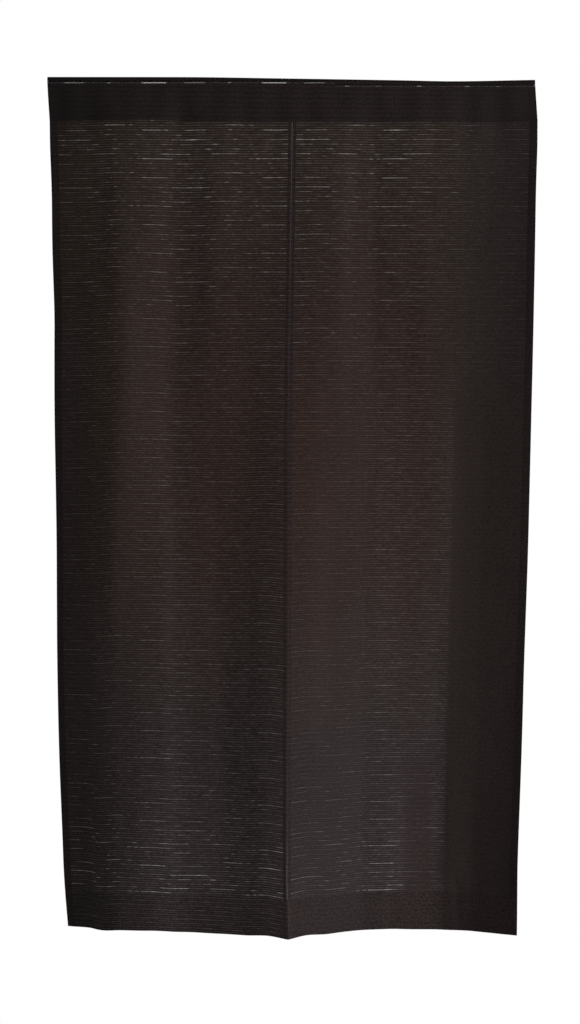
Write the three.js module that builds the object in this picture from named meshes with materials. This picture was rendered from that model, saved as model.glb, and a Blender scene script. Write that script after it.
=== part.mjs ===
// A noren: a doorway curtain of two half-width panels that hang side by side from one sewn
// sleeve. The sleeve slips over a rod. The cloth is sheer and dark, and hangs in soft folds that
// grow downwards: its outer left edge curls back, a ridge stands forward where the panels meet,
// and the right panel sinks behind the rod before its outer edge comes forward again.
//
// Millimetres. X runs to the right along the rod, Y away from the viewer and Z up. The origin is
// on the rod's axis, at the middle of the width.
import * as THREE from "three";

const WIDTH = 850; // both panels together, at the rod
const CLOTH = 1.2; // thickness of one layer
const HEMMED = 2; // thickness where the cloth is turned under and doubled
const PIECE_GAP = 0.3; // between the sleeve and the panels below it
const SLIT_GAP = 0.5; // between the two panels

const SLEEVE_RADIUS = 8.5; // outside, where the sleeve passes over the rod
const SLEEVE_BOTTOM = -66; // height of the sleeve's stitched lower edge
const STITCHED = 5; // height of the strip below the sleeve's hollow
const HOLLOW_FOOT = 0.4; // half the hollow's width at its foot, just above that strip
const SLEEVE_SWAY = 1.5; // a power: the sleeve is straight at the rod and takes on the folds below
const SLEEVE_LEAN = 2; // how far the sleeve's stitched edge hangs to the right of the rod's middle
const PANEL_LENGTH = 1414; // down the cloth, from the sleeve to the bottom edge

const BOTTOM_HEM = 65;
const OUTER_HEM = 14; // down the outer side of each panel
const INNER_HEM = 7; // down the slit

const SLEEVE_STATIONS = 36; // sections along the sleeve
const SLEEVE_ARC_STEPS = 8; // over the rod
const SLEEVE_WALL_STEPS = 4; // down each side
const PANEL_COLUMNS = 24; // between the side hems
const PANEL_ROWS = 31; // above the bottom hem
const HEM_ROWS = 2;
const SECTION_STEPS = 120; // fine steps that measure a section's width

// The rod sags a little and stands lower at the right, so the sleeve's top does too.
const ROD_LINE = [
  { x: -425, rise: 2.8 },
  { x: -195, rise: 2.6 },
  { x: 0, rise: 0 },
  { x: 195, rise: -3.1 },
  { x: 280, rise: -4.7 },
  { x: 425, rise: -2.3 },
];

// The slit drifts to the left on its way down.
const SLIT_LINE = [
  { drop: 0, x: SLEEVE_LEAN },
  { drop: 560, x: -5.3 },
  { drop: 1290, x: -7.4 },
  { drop: PANEL_LENGTH, x: -5.6 },
];

// How far below the sleeve the fold tables give their depths, measured down the cloth.
const DROPS = [0, 150, 360, 690, 990, 1285, PANEL_LENGTH];

// One row for each fold: how far across the cloth it lies from the panel's outer edge, how far it
// stands behind the rod's axis at each of the DROPS, less than zero being in front of it, and how
// much shorter than the rest the cloth hangs there.
const LEFT_FOLDS = [
  { fold: "outer edge", across: 0, depths: [5, 13, 17, 41, 51, 56, 61], short: 0 },
  { fold: "curl", across: 44, depths: [6, 14, 6, 19, 27, 38, 39], short: 2 },
  { fold: "curl's foot", across: 86, depths: [3, 7, -8, -2, 8, 9, 9], short: 5 },
  { fold: "crest", across: 126, depths: [-4, -7, -18, -14, -4, -10, -11], short: 6 },
  { fold: "crest's back", across: 175, depths: [-3, 0, -3, -8, -10, -18, -14], short: 4 },
  { fold: "groove", across: 228, depths: [4, 12, 15, 5, -5, -12, -8], short: 1 },
  { fold: "shallow rise", across: 298, depths: [-3, 0, 4, 0, -8, -15, -20], short: 0 },
  { fold: "rise's end", across: 345, depths: [-1, 3, 2, -9, -22, -28, -34], short: 0 },
  { fold: "ridge's flank", across: 385, depths: [0, 3, -1, -18, -35, -43, -49], short: 0 },
  { fold: "slit", across: 425, depths: [-2, -1, -6, -24, -42, -52, -62], short: 0 },
];

const RIGHT_FOLDS = [
  { fold: "outer edge", across: 0, depths: [-5, -9, -12, -15, -12, -9, -28], short: 0 },
  { fold: "outer swell", across: 55, depths: [-6, -7, -8, -6, 0, 11, -3], short: 0 },
  { fold: "crease", across: 110, depths: [-5, -5, 0, 4, 10, 25, 14], short: 0 },
  { fold: "valley", across: 165, depths: [-4, -1, 5, 14, 21, 31, 21], short: 0 },
  { fold: "valley's floor", across: 225, depths: [-2, 5, 12, 18, 19, 21, 19], short: 0 },
  { fold: "valley's foot", across: 275, depths: [2, 9, 11, 13, 9, 14, 10], short: 0 },
  { fold: "ridge's side", across: 310, depths: [1, 6, 4, 3, -3, -2, -3], short: 0 },
  { fold: "ridge's flank", across: 345, depths: [-3, -3, -6, -9, -18, -21, -21], short: 0 },
  { fold: "ridge's shoulder", across: 385, depths: [-4, -5, -11, -22, -37, -42, -44], short: 0 },
  { fold: "slit", across: 425, depths: [-2, -1, -6, -24, -42, -52, -62], short: 0 },
];

// A smooth curve through the values given at each place, which never overshoots them, as cloth
// does between one fold and the next.
function smoothThrough(places, values) {
  const slopes = places.slice(1).map((place, i) => (values[i + 1] - values[i]) / (place - places[i]));
  const tangents = places.map((_, i) => {
    if (i === 0) return slopes[0];
    if (i === slopes.length) return slopes[i - 1];
    const [before, after] = [slopes[i - 1], slopes[i]];
    return before * after <= 0 ? 0 : (2 * before * after) / (before + after);
  });
  return (at) => {
    const held = Math.min(Math.max(at, places[0]), places[places.length - 1]);
    const i = Math.max(0, places.findIndex((place) => place >= held) - 1);
    const span = places[i + 1] - places[i];
    const t = (held - places[i]) / span;
    const rise = values[i] + (values[i + 1] - values[i]) * t * t * (3 - 2 * t);
    return rise + span * t * (1 - t) * (tangents[i] * (1 - t) - tangents[i + 1] * t);
  };
}

const column = (table, name) => table.map((row) => row[name]);
const rodRise = smoothThrough(column(ROD_LINE, "x"), column(ROD_LINE, "rise"));
const slitAt = smoothThrough(column(SLIT_LINE, "drop"), column(SLIT_LINE, "x"));

// Evenly spaced numbers from first to last, both included.
function spread(first, last, steps) {
  return Array.from({ length: steps + 1 }, (_, i) => first + ((last - first) * i) / steps);
}

// A closed mesh from corner points and four-sided faces, each listed anticlockwise from outside.
function meshOf(points, quads) {
  const geometry = new THREE.BufferGeometry();
  geometry.setAttribute("position", new THREE.Float32BufferAttribute(points.flat(), 3));
  geometry.setIndex(quads.flatMap(([a, b, c, d]) => [a, b, c, a, c, d]));
  geometry.computeVertexNormals();
  return geometry;
}

// One panel. side is -1 for the left one and 1 for the right one.
function panelOf(folds, side) {
  const half = WIDTH / 2;
  const across = [0, ...spread(OUTER_HEM, half - INNER_HEM, PANEL_COLUMNS), half];
  const hemLine = PANEL_LENGTH - BOTTOM_HEM;
  const drops = [...spread(0, hemLine, PANEL_ROWS), ...spread(hemLine, PANEL_LENGTH, HEM_ROWS).slice(1)];
  const foldDepths = folds.map((row) => smoothThrough(DROPS, row.depths));
  const shortAt = smoothThrough(column(folds, "across"), column(folds, "short"));

  // The section at one drop: where each column of the cloth lies, worked out from the slit
  // outwards so that the cloth keeps its width however deep its folds are.
  const sectionAt = (drop) => {
    const depthAt = smoothThrough(column(folds, "across"), foldDepths.map((depth) => depth(drop)));
    const step = half / SECTION_STEPS;
    const reach = [0];
    for (let i = 0; i < SECTION_STEPS; i += 1) {
      const from = half - i * step;
      reach.push(reach[i] + Math.sqrt(step ** 2 - (depthAt(from) - depthAt(from - step)) ** 2));
    }
    const reachAt = smoothThrough(spread(0, half, SECTION_STEPS), reach);
    const inner = slitAt(drop) + (side * SLIT_GAP) / 2;
    return across.map((at) => [inner + side * reachAt(half - at), depthAt(at)]);
  };

  // The heights follow from the cloth's length: a stretch that leans hangs less far down.
  const middle = [];
  drops.forEach((drop, row) => {
    const section = sectionAt(drop);
    middle.push(section.map(([x, y], i) => {
      if (row === 0) return new THREE.Vector3(x, y, SLEEVE_BOTTOM - PIECE_GAP);
      const above = middle[row - 1][i];
      const length = (drop - drops[row - 1]) * (1 - shortAt(across[i]) / PANEL_LENGTH);
      const fall = Math.sqrt(length ** 2 - (x - above.x) ** 2 - (y - above.y) ** 2);
      return new THREE.Vector3(x, y, above.z - fall);
    }));
  });

  const lastRow = drops.length - 1;
  const lastColumn = across.length - 1;
  const inHem = (row, i) => drops[row] >= hemLine || i <= 1 || i >= lastColumn - 1;
  const outward = (row, i) => {
    const along = middle[row][Math.min(i + 1, lastColumn)].clone().sub(middle[row][Math.max(i - 1, 0)]);
    const down = middle[Math.min(row + 1, lastRow)][i].clone().sub(middle[Math.max(row - 1, 0)][i]);
    const normal = down.cross(along).multiplyScalar(side);
    if (i === lastColumn) normal.x = 0; // square to the slit, so that the two panels stay apart
    if (row === 0) normal.z = 0; // level with the sleeve's edge
    return normal.normalize();
  };

  const wide = across.length;
  const front = [];
  const back = [];
  middle.forEach((points, row) => points.forEach((point, i) => {
    const offset = outward(row, i).multiplyScalar((inHem(row, i) ? HEMMED : CLOTH) / 2);
    front.push(point.clone().add(offset).toArray());
    back.push(point.clone().sub(offset).toArray());
  }));
  const backStart = front.length;
  const quads = [];
  const add = (a, b, c, d) => quads.push(side > 0 ? [a, b, c, d] : [d, c, b, a]);
  for (let row = 0; row < lastRow; row += 1) {
    for (let i = 0; i < lastColumn; i += 1) {
      const [high, low] = [row * wide + i, (row + 1) * wide + i];
      add(high, low, low + 1, high + 1);
      add(backStart + high, backStart + high + 1, backStart + low + 1, backStart + low);
    }
    const [outer, inner] = [row * wide, row * wide + lastColumn];
    add(outer, backStart + outer, backStart + outer + wide, outer + wide);
    add(inner, inner + wide, backStart + inner + wide, backStart + inner);
  }
  for (let i = 0; i < lastColumn; i += 1) {
    const low = lastRow * wide + i;
    add(i, i + 1, backStart + i + 1, backStart + i);
    add(low, backStart + low, backStart + low + 1, low + 1);
  }
  return meshOf([...front, ...back], quads);
}

// Depth of the sleeve's stitched edge at x, the same as the top of the panel below it.
function seamDepth(x) {
  const folds = x < 0 ? LEFT_FOLDS : RIGHT_FOLDS;
  const topDepths = folds.map((row) => row.depths[0]);
  return smoothThrough(column(folds, "across"), topDepths)(WIDTH / 2 - Math.abs(x));
}

// The outline of the sleeve's section at x: over the rod, down the back wall and up the front
// one. inset is how far inside the cloth's outer face it runs, and floor is its lowest height.
function sleeveRing(x, inset, floor) {
  const radius = SLEEVE_RADIUS - inset;
  const axis = rodRise(x);
  const foot = Math.max(HEMMED / 2 - inset, HOLLOW_FOOT);
  const arc = spread(0, Math.PI, SLEEVE_ARC_STEPS).map((turn) => [
    -radius * Math.cos(turn),
    axis + radius * Math.sin(turn),
  ]);
  const wall = spread(0, 1, SLEEVE_WALL_STEPS).slice(1);
  const down = wall.map((t) => [radius + (foot - radius) * t, axis + (floor - axis) * t]);
  const up = down.toReversed().map(([y, z]) => [-y, z]);
  return [...arc, ...down, ...up].map(([y, z]) => {
    const share = Math.min(Math.max((axis - z) / (axis - SLEEVE_BOTTOM), 0), 1);
    return [x + SLEEVE_LEAN * share, y + seamDepth(x) * share ** SLEEVE_SWAY, z];
  });
}

// The sleeve: a flat tube along the rod, open at both ends.
function sleeve() {
  const stations = spread(-WIDTH / 2, WIDTH / 2, SLEEVE_STATIONS);
  const outside = stations.map((x) => sleeveRing(x, 0, SLEEVE_BOTTOM));
  const inside = stations.map((x) => sleeveRing(x, CLOTH, SLEEVE_BOTTOM + STITCHED));
  const around = outside[0].length;
  const insideStart = stations.length * around;
  const quads = [];
  for (let i = 0; i < around; i += 1) {
    const next = (i + 1) % around;
    for (let s = 0; s < SLEEVE_STATIONS; s += 1) {
      const [here, there] = [s * around, (s + 1) * around];
      quads.push([here + i, there + i, there + next, here + next]);
      quads.push([here + i, here + next, there + next, there + i].map((corner) => insideStart + corner));
    }
    const end = SLEEVE_STATIONS * around;
    quads.push([i, next, insideStart + next, insideStart + i]);
    quads.push([end + i, insideStart + end + i, insideStart + end + next, end + next]);
  }
  return meshOf([...outside.flat(), ...inside.flat()], quads);
}

// Dark brown, nearly black cloth. Doubled cloth lets no light through, so it is darker.
const singleCloth = { color: 0x2a2322, roughness: 0.9, metalness: 0 };
const doubledCloth = { color: 0x1c1817, roughness: 0.9, metalness: 0 };

function piece(name, geometry, finish) {
  const mesh = new THREE.Mesh(geometry, new THREE.MeshStandardMaterial(finish));
  mesh.name = name;
  return mesh;
}

const noren = new THREE.Group();
noren.add(
  piece("heading", sleeve(), doubledCloth),
  piece("panel_left", panelOf(LEFT_FOLDS, -1), singleCloth),
  piece("panel_right", panelOf(RIGHT_FOLDS, 1), singleCloth),
);

export default noren;
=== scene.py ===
"""Dresses a packed noren: two hanging cloth panels, the sleeve over the rod, their stitching and
the studio. Tables are in millimetres, as in the part's source, and everything built is in metres.
"""

import math

import bpy
import numpy as np
from bpy.props import FloatProperty, FloatVectorProperty, PointerProperty
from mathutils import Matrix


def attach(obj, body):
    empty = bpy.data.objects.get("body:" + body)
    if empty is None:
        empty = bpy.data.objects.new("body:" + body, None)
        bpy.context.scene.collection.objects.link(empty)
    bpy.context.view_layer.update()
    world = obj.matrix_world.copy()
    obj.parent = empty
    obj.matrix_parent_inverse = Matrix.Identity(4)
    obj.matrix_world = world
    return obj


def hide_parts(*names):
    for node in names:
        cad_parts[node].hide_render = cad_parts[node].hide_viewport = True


bl_info = {
    "name": "Noren curtain",
    "version": (1, 0, 0),
    "blender": (4, 5, 0),
    "location": "3D View > Sidebar > Noren",
    "description": "Builds the cloth, stitching and studio of a two-panel doorway curtain",
    "category": "Object",
}

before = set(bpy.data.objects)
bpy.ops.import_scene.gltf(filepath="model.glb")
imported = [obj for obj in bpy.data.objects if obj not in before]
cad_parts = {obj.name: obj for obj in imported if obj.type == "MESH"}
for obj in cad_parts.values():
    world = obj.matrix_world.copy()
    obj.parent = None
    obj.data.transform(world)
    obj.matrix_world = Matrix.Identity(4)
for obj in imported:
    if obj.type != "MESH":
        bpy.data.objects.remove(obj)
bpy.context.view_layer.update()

MM = 0.001
HALF = 425.0  # one panel's width
SEAM = -66.0  # height of the sleeve's stitched edge
PANEL_TOP = -66.3
PANEL_LENGTH = 1414.0
BOTTOM_HEM = 65.0
OUTER_HEM = 14.0
INNER_HEM = 7.0
SLEEVE_RADIUS = 8.5
SLEEVE_SWAY = 1.5
HEM_LINE = PANEL_LENGTH - BOTTOM_HEM

# The rod sags a little and stands lower at the right.
ROD_LINE = [(-425, 2.8), (-195, 2.6), (0, 0), (195, -3.1), (280, -4.7), (425, -2.3)]

# The stitched edge stands a little higher at the left.
SEAM_RISE = [(-425, 3.3), (-230, 3.3), (-150, 1.6), (-60, -0.6), (30, 0), (425, 0)]

# Where the slit hangs, down the cloth.
SLIT_LINE = [(0, 2), (560, -5.3), (1290, -7.4), (1414, -5.6)]

# How far down the cloth the fold tables give their depths.
DROPS = [0, 150, 360, 690, 990, 1285, 1414]

# Each fold: how far across the cloth it lies from the panel's outer edge, its depth behind the
# rod's axis at each of the drops, and how much shorter the cloth hangs there.
LEFT_FOLDS = [
    (0, [8, 17, 20, 41, 51, 56, 61], -5),  # outer edge
    (44, [7, 14.5, 9.5, 20, 28, 38, 39], -2.5),  # curl
    (86, [3, 8, -5, 0, 8, 9, 9], -0.9),  # curl's foot
    (126, [-3, -4, -15, -13, -4, -10, -11], 3.9),  # crest
    (175, [-3, 1, -0.5, -5.5, -9, -18, -14], 4),  # crest's back
    (228, [4, 12, 15, 5, -5, -12, -8], 0.3),  # groove
    (298, [-3, 0, 4, 0, -8, -15, -20], 0),  # shallow rise
    (345, [-1, 3, 2, -9, -22, -28, -34], 0),  # rise's end
    (385, [0, 3, -1, -18, -35, -43, -49], 2),  # ridge's flank
    (425, [-2, -1, -6, -24, -42, -52, -62], -2.5),  # slit
]
RIGHT_FOLDS = [
    (0, [-5, -6, -8, -4, -9, -12, -26], -2.9),  # outer edge
    (30, [-2, -0.5, -1, 4.5, 2, 2, -12], -3.1),  # outer swell
    (60, [0.2, 3, 4.5, 12.5, 11, 14, 2], -3),  # swell's side
    (90, [1.2, 5.5, 9, 19, 18.5, 24.5, 15], -2.9),  # swell's foot
    (120, [1.2, 6.5, 11.5, 21.5, 23, 30, 21.5], -3),  # valley's side
    (148, [0, 5.5, 11, 20, 24.5, 34, 24.5], -2.7),  # valley
    (185, [-1.5, 3.5, 8.8, 18, 21.5, 30, 22], -1.8),  # valley's floor
    (225, [-2, 5, 12, 17, 18, 21, 19], -0.3),  # valley's floor
    (275, [2, 9, 11, 13, 9, 14, 10], 0),  # valley's foot
    (310, [1, 6, 4, 3, -3, -2, -3], 0),  # ridge's side
    (345, [-3, -3, -5, -8, -15.5, -19.5, -21], 0),  # ridge's flank
    (385, [-3, -3.5, -7.5, -18.5, -31, -37, -42], 2.2),  # ridge's shoulder
    (425, [-2, -1, -6, -24, -42, -52, -62], -2.5),  # slit
]

# How much wider than its cut each panel hangs at each of the drops, left and right.
EASE = {-1: [2, 0.5, -1.1, 0.9, 0.5, -0.3, -1.3], 1: [3.9, 4.4, 4.9, 4, 1.4, 3, 3]}

# Smaller wrinkles: across at their top and bottom, where down the cloth they start and end, half
# their width and their depth, less than zero being towards the viewer.
LEFT_WRINKLES = [
    (268, 262, -60, 420, 12, 1.2),  # shallow groove from the sleeve
    (110, 118, -60, 260, 10, -0.8),  # faint pucker under the sleeve
    (204, 213, 620, 1500, 24, -3.2),  # soft swell that catches the light
    (300, 292, 300, 900, 16, 0.9),
]
RIGHT_WRINKLES = [
    (283, 262, 20, 640, 18, 1.6),  # shallow groove beside the ridge
    (228, 224, 1290, 1500, 14, 1.8),  # pucker in the hem
    (112, 104, 1290, 1500, 9, 1.4),  # pucker in the hem
]

# Ripples that run from the rod through the sleeve and fade out below it: how many there are in
# half the width, and how deep they are, for the small ones and the broad ones under them.
RIPPLES_SMALL = 7.75
RIPPLES_BROAD = 3
SMALL_DEPTH = 0.8
BROAD_DEPTH = 0.4

# The weave's chart, one repeat: for each main row, the dashes in it as start, length and how
# open they are, from 0 to 1.
REPEAT_WIDTH = 210.0
ROW_HEIGHT = 8.333
ROW_CLOSING = 0.000251  # the rows lie a little closer together further down
REPEAT_START = -264.0
ROW_START = 14.9
DASH_CHART = [
    [(3, 43, 1.0), (77, 36, 0.6), (153, 6, 0.7)],
    [(62, 10, 0.6), (147, 8, 0.6), (202, 7, 0.4)],
    [(2, 46, 0.35), (54, 67, 0.95), (161, 7, 0.6)],
    [(35, 11, 0.5), (68, 22, 0.6), (124, 9, 1.0), (171, 4, 0.5), (190, 6, 0.5)],
    [(49, 6, 0.5), (113, 11, 0.8), (161, 13, 0.6)],
    [(36, 50, 0.95), (123, 44, 0.7), (199, 7, 0.7)],
    [(2, 53, 0.95), (189, 7, 0.7), (202, 6, 0.95)],
    [(11, 8, 0.6), (62, 28, 0.6), (163, 6, 0.6)],
    [(17, 4, 0.5), (105, 11, 0.3), (150, 6, 0.6)],
    [(134, 3, 0.4), (147, 34, 0.75), (190, 7, 0.8)],
]

# The weave's rows run straight while the rod sags, so the chart's first row passes over the rod at
# the left and its second row from ROD_ROW_CHANGE on. ROD_ROW_DROP is how far the first row lies below
# the rod's height in the middle, and ROD_ROW_STEP how much further down the second one lies.
ROD_ROW_CHANGE = 77.0
ROD_ROW_DROP = 0.5
ROD_ROW_STEP = 6.2
ROD_ROW_OPENNESS = 0.37  # between its dashes; a dash opens by as much again
AXIS_CLIMB = 66.6  # how far up the sleeve's wall the rod's height lies
LINE_REACH = 5.0  # the rod line rises and falls by less than this

# How brightly the dashes show down the cloth: distance down it and share of the brightest.
LIT_DASHES = [
    (15, 0.8),
    (90, 0.63),
    (150, 0.5),
    (250, 0.35),
    (400, 0.26),
    (600, 0.22),
    (850, 0.23),
    (1050, 0.31),
    (1150, 0.38),
    (1230, 0.5),
    (1290, 0.68),
    (1345, 0.8),
]

# What the highest place of the curves for the rows and for the slit stands for.
MOST_SHEER = 1.45
MOST_LEAK = 1.42

# How much of that shows across the cloth, from the left edge to the right one, for the rows and
# for the dashes, each high up and low down. It stops at a crease in the right panel.
ROWS_HIGH = [(-425, 0.34), (-375, 0.53), (-340, 0.6), (-245, 0.74), (235, 0.77), (262, 0.66)]
ROWS_HIGH += [(290, 0.6), (305, 0.52), (322, 0.44), (350, 0.41), (400, 0.4)]
ROWS_LOW = [(-425, 0.34), (-332, 0.54), (-245, 0.8), (-215, 0.86), (-175, 0.82), (-150, 0.75)]
ROWS_LOW += [(-20, 0.75), (10, 0.66), (95, 0.63), (140, 0.76), (165, 0.9), (200, 0.9), (222, 0.83)]
ROWS_LOW += [(288, 0.86), (296, 0.17)]
DASHES_HIGH = [(-425, 0.6), (-300, 0.95), (190, 0.95), (206, 0.7), (262, 0.5), (300, 0.38), (350, 0.28)]
DASHES_LOW = [(-425, 0.6), (-300, 0.9), (-70, 0.9), (-45, 0.72), (50, 0.72), (90, 0.95)]
DASHES_LOW += [(197, 0.95), (207, 0.64), (255, 0.64), (266, 0.74), (288, 0.66), (296, 0.05)]


def smooth_through(places, values, at):
    """A smooth curve through values at places, read at the numbers in at, with no overshoot."""
    places = np.asarray(places, float)
    values = np.asarray(values, float)
    spans = np.diff(places)
    slopes = np.diff(values, axis=0) / (spans if values.ndim == 1 else spans[:, None])
    tangents = np.empty_like(values)
    tangents[0] = slopes[0]
    tangents[-1] = slopes[-1]
    before, after = slopes[:-1], slopes[1:]
    total = before + after
    total[total == 0] = 1.0
    tangents[1:-1] = np.where(before * after > 0, 2 * before * after / total, 0)
    held = np.clip(at, places[0], places[-1])
    i = np.clip(np.searchsorted(places, held) - 1, 0, len(spans) - 1)
    t = (held - places[i]) / spans[i]
    span = spans[i]
    if values.ndim == 2:
        t = t[:, None]
        span = span[:, None]
    rise = values[i] + (values[i + 1] - values[i]) * t * t * (3 - 2 * t)
    return rise + span * t * (1 - t) * (tangents[i] * (1 - t) - tangents[i + 1] * t)


def smooth_step(low, high, at):
    t = np.clip((at - low) / (high - low), 0, 1)
    return t * t * (3 - 2 * t)


def spread(first, last, widest):
    """Evenly spaced numbers from first to last, no further apart than widest."""
    return np.linspace(first, last, int(math.ceil((last - first) / widest)) + 1)


def noren():
    return bpy.context.scene.noren


# The photo's camera: where it stands, in metres, how long its lens is, and how many of the photo's
# pixels its height lies above the photo's middle.
CAMERA_PLACE = (-0.0021, -3.8, -0.6659)
CAMERA_LENS = 76.54
CAMERA_RISE = 47
PHOTO_HEIGHT = 1024

# The cloth's shape


def ripple_depth(x):
    """Depth of the ripples that the rod gathers into the sleeve. They end at its ends."""
    turn = 2 * math.pi * x / HALF
    return BROAD_DEPTH * np.sin(RIPPLES_BROAD * turn) - SMALL_DEPTH * np.cos(RIPPLES_SMALL * turn)


def wrinkle_depth(wrinkles, side, across, drops):
    """Depth that wrinkles and ripples add, for columns across and rows down."""
    ripples = ripple_depth(side * (HALF - across))
    total = ripples[:, None] * (1 - smooth_step(0, 80, drops))[None, :]
    for top, bottom, start, end, half_width, depth in wrinkles:
        line = np.interp(drops, [start, end], [top, bottom])
        fade = smooth_step(start, start + 90, drops) * (1 - smooth_step(end - 160, end, drops))
        away = (across[:, None] - line[None, :]) / half_width
        total += depth * fade[None, :] / (1 + away**2) ** 1.5
    return total


def seam_rise(x):
    """How much higher than at the right the sleeve's stitched edge stands."""
    return smooth_through([r[0] for r in SEAM_RISE], [r[1] for r in SEAM_RISE], x)


def panel_middle(folds, wrinkles, side, across, drops):
    """The middle of a panel's cloth, columns by rows, in millimetres. The cloth keeps its width,
    but for its ease, and its length however deep the folds are."""
    places = [fold[0] for fold in folds]
    fine = np.linspace(0, HALF, 426)
    depths = np.array([smooth_through(DROPS, fold[1], drops) for fold in folds])
    depth = smooth_through(places, depths, fine) + wrinkle_depth(wrinkles, side, fine, drops)
    step = fine[1]
    run = np.sqrt(step**2 - np.diff(depth, axis=0) ** 2)
    reach = np.zeros_like(depth)
    reach[:-1] = np.cumsum(run[::-1], axis=0)[::-1]
    low = np.minimum((across / step).astype(int), len(fine) - 2)
    part = (across / step - low)[:, None]
    reach = reach[low] * (1 - part) + reach[low + 1] * part
    depth = depth[low] * (1 - part) + depth[low + 1] * part
    slit = smooth_through([s[0] for s in SLIT_LINE], [s[1] for s in SLIT_LINE], drops)
    eased = 1 + smooth_through(DROPS, EASE[side], drops) / HALF
    x = slit[None, :] + side * (reach * eased + noren().sizes.slit_gap / MM / 2)
    short = smooth_through(places, [fold[2] for fold in folds], across)
    z = np.full_like(depth, PANEL_TOP)
    for row in range(1, len(drops)):
        length = (drops[row] - drops[row - 1]) * (1 - short / PANEL_LENGTH)
        moved = (x[:, row] - x[:, row - 1]) ** 2 + (depth[:, row] - depth[:, row - 1]) ** 2
        z[:, row] = z[:, row - 1] - np.sqrt(length**2 - moved)
    return np.stack([x, depth, z], axis=2)


def outward(points, side):
    """The direction that the cloth's front faces, at each point of a panel's middle. The edges
    at the slit slant alike, so that no light passes between them."""
    along = np.gradient(points, axis=0)
    down = np.gradient(points, axis=1)
    normal = np.cross(along, down) * side
    normal[:, 0, 2] = 0
    normal /= np.linalg.norm(normal, axis=2, keepdims=True)
    normal[-1] = (-0.35, -1, 0)
    return normal


def panel_columns():
    """Distances across a panel from its outer edge: close together at the folded edges."""
    inner = HALF - INNER_HEM
    parts = [
        [0, 0.35, 1.0],
        spread(OUTER_HEM / 2, OUTER_HEM - 0.25, 8),
        spread(OUTER_HEM + 0.25, inner - 0.25, 3.05),
        [inner + 0.25, HALF - 3, HALF - 1.0, HALF - 0.35, HALF],
    ]
    return np.concatenate(parts)


def panel_rows():
    """Distances down a panel: close together at the hem and at the bottom edge."""
    parts = [
        spread(0, HEM_LINE - 0.25, 5.2),
        spread(HEM_LINE + 0.25, PANEL_LENGTH - 5, 5.2),
        [PANEL_LENGTH - 1.0, PANEL_LENGTH - 0.35, PANEL_LENGTH],
    ]
    return np.concatenate(parts)


def doubled_share(across, drops):
    """1 where the cloth is turned under and doubled, and 0 elsewhere."""
    columns = (across < OUTER_HEM) | (across > HALF - INNER_HEM)
    return (columns[:, None] | (drops > HEM_LINE)[None, :]).astype(float)


def rounding(across, drops):
    """How much of its thickness the cloth has, less at the folded edges, which are round."""
    near_side = np.minimum(across, HALF - across)
    near_edge = np.minimum(near_side[:, None], (PANEL_LENGTH - drops)[None, :])
    return np.interp(near_edge, [0, 0.35, 1.0], [0.35, 0.78, 1.0])


def sheet_object(name, points, quads, layers):
    """A mesh object from points in millimetres, its faces, and UV layers with a place for each
    face's corner."""
    mesh = bpy.data.meshes.new(name)
    mesh.from_pydata((points * MM).tolist(), [], quads.tolist())
    for layer, corners in layers.items():
        made = mesh.uv_layers.new(name=layer)
        made.data.foreach_set("uv", corners.astype(np.float32).ravel())
    mesh.update()
    piece = bpy.data.objects.new(name, mesh)
    bpy.context.scene.collection.objects.link(piece)
    return piece


def finish_piece(piece, material, angle):
    """Gives a piece its material, and smooth shading up to an angle in degrees."""
    piece.data.materials.append(material)
    bpy.ops.object.select_all(action="DESELECT")
    piece.select_set(True)
    bpy.context.view_layer.objects.active = piece
    bpy.ops.object.shade_smooth_by_angle(angle=math.radians(angle))


def panel_layers(folds, wrinkles, side, across, drops):
    """The front and the back of a panel, columns by rows. Hems are turned to the back."""
    middle = panel_middle(folds, wrinkles, side, across, drops)
    facing = outward(middle, side)
    cloth = noren().sizes.cloth_thickness / MM
    full = rounding(across, drops)[:, :, None]
    turned = doubled_share(across, drops)[:, :, None]
    front = middle + facing * (cloth / 2) * full
    back = middle - facing * (cloth / 2 + (cloth + 0.12) * turned) * full
    return front, back


def hang_panel(name, folds, wrinkles, side):
    """One panel as a closed sheet."""
    across = panel_columns()
    drops = panel_rows()
    front, back = panel_layers(folds, wrinkles, side, across, drops)
    rise = seam_rise(side * (HALF - across))
    front[:, 0, 2] += 0.5 + rise
    back[:, 0, 2] += 0.5 + rise
    columns, rows = len(across), len(drops)
    shift = columns * rows
    at = np.arange(shift).reshape(columns, rows)
    sheet = np.stack([at[:-1, :-1], at[:-1, 1:], at[1:, 1:], at[1:, :-1]], axis=-1).reshape(-1, 4)
    parts = [sheet, sheet[:, ::-1] + shift]
    for line, turn in ((at[0], 1), (at[-1], -1), (at[:, 0], -1), (at[:, -1], 1)):
        strip = np.stack([line[:-1], line[:-1] + shift, line[1:] + shift, line[1:]], axis=-1)
        parts.append(strip[:, ::turn])
    quads = np.concatenate(parts)
    if side > 0:
        quads = quads[:, ::-1]
    flat = np.empty((columns, rows, 2))
    flat[:, :, 0] = side * (HALF - across)[:, None]
    flat[:, :, 1] = drops[None, :]
    flat[:, 0, 1] -= rise
    flat = np.concatenate([flat.reshape(-1, 2)] * 2)
    layers = {"Cloth": flat[quads.ravel()], "OFBake": bake_places(across, drops, quads)}
    points = np.concatenate([front.reshape(-1, 3), back.reshape(-1, 3)])
    return sheet_object(name, points, quads, layers)


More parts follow.
